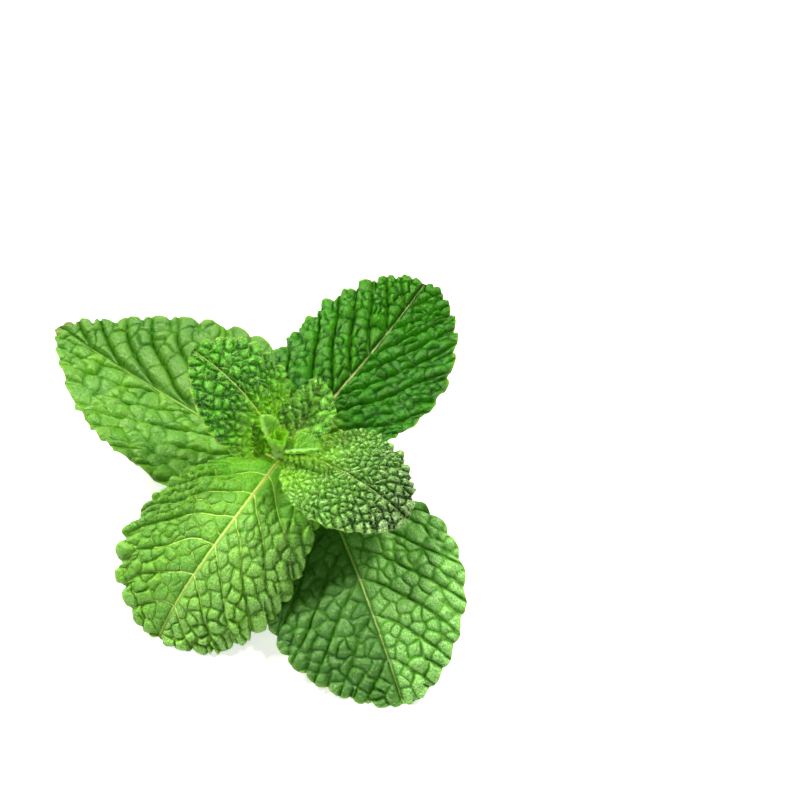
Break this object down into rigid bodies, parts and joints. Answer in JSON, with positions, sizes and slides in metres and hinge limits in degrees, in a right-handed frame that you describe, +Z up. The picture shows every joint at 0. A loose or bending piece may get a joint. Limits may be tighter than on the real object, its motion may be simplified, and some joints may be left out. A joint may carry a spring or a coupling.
{
  "type": "mint sprig",
  "caption": "Leafy top of a cut mint stem, lying on a surface: toothed, quilted leaves in crosswise pairs round a small bud, as a garnish or cooking herb.",
  "frame": {"origin": "under the middle of the sprig's box, on the surface that it lies on", "axes": "+Z up from the surface, +Y from the front leaves towards the cut end of the stem, +X to the right"},
  "size_m": [0.0874, 0.091, 0.0487],
  "materials": {
    "stem": "satin, yellow-green with reddish nodes",
    "leaf_low": "satin, quilted, mid green",
    "leaf_middle": "satin, quilted, fresh green",
    "leaf_upper": "satin, finely puckered and hairy, fresh green",
    "leaf_tip": "satin, hairy, yellow-green"
  },
  "bodies": {
    "root": {"stem": "stem", "leaf_low_left": "leaf_low", "leaf_low_front": "leaf_low", "leaf_middle_front": "leaf_middle", "leaf_middle_back": "leaf_middle", "leaf_upper_left": "leaf_upper", "leaf_upper_right": "leaf_upper", "leaf_tip_back": "leaf_tip", "leaf_tip_front": "leaf_tip", "leaf_crown_right": "leaf_tip"}
  },
  "joints": []
}
